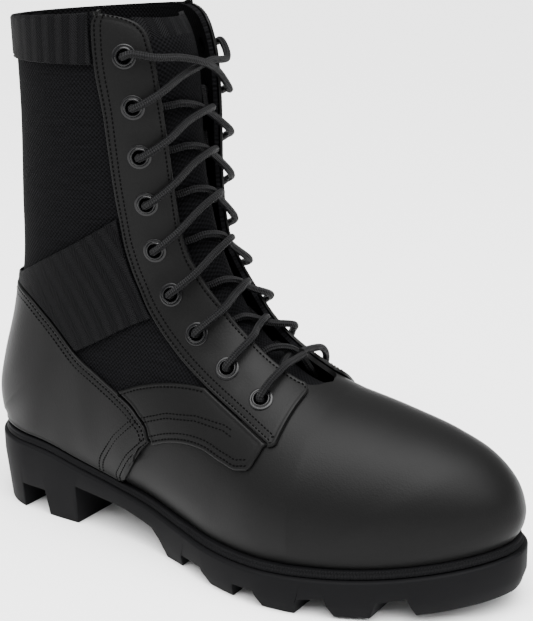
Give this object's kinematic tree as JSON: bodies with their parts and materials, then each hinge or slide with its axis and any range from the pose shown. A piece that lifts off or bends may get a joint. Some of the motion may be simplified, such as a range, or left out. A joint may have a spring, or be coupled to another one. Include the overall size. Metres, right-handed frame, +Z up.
{
  "type": "jungle boot",
  "caption": "Black lace-up jungle boot for the right foot: leather and canvas upper on a lugged rubber sole, laced to the collar.",
  "frame": {"origin": "on the floor under the middle of the boot's bounding box", "axes": "+X towards the toe, +Y towards the inner side of the foot, +Z up"},
  "size_m": [0.308, 0.1116, 0.2707],
  "materials": {
    "sole_rubber": "matt moulded black rubber",
    "welt_rubber": "matt ribbed black rubber",
    "leather": "semi-matt black leather",
    "canvas": "black canvas",
    "webbing": "black herringbone webbing",
    "insole_felt": "dark felted insole",
    "eyelet_enamel": "gloss black enamel",
    "lace_cord": "round black braid"
  },
  "bodies": {
    "root": {"outsole": "sole_rubber", "welt": "welt_rubber", "insole": "insole_felt", "upper": "leather", "tongue": "canvas", "heel_counter": "leather", "ankle_web": "webbing", "collar_tape": "webbing", "eyestay_outer": "leather", "eyestay_inner": "leather", "instep_patch_outer": "leather", "instep_patch_inner": "leather", "lace": "lace_cord", "eyelet_outer_1": "eyelet_enamel", "eyelet_outer_2": "eyelet_enamel", "eyelet_outer_3": "eyelet_enamel", "eyelet_outer_4": "eyelet_enamel", "eyelet_outer_5": "eyelet_enamel", "eyelet_outer_6": "eyelet_enamel", "eyelet_outer_7": "eyelet_enamel", "eyelet_outer_8": "eyelet_enamel", "eyelet_outer_9": "eyelet_enamel", "eyelet_inner_1": "eyelet_enamel", "eyelet_inner_2": "eyelet_enamel", "eyelet_inner_3": "eyelet_enamel", "eyelet_inner_4": "eyelet_enamel", "eyelet_inner_5": "eyelet_enamel", "eyelet_inner_6": "eyelet_enamel", "eyelet_inner_7": "eyelet_enamel", "eyelet_inner_8": "eyelet_enamel", "eyelet_inner_9": "eyelet_enamel"}
  },
  "joints": []
}
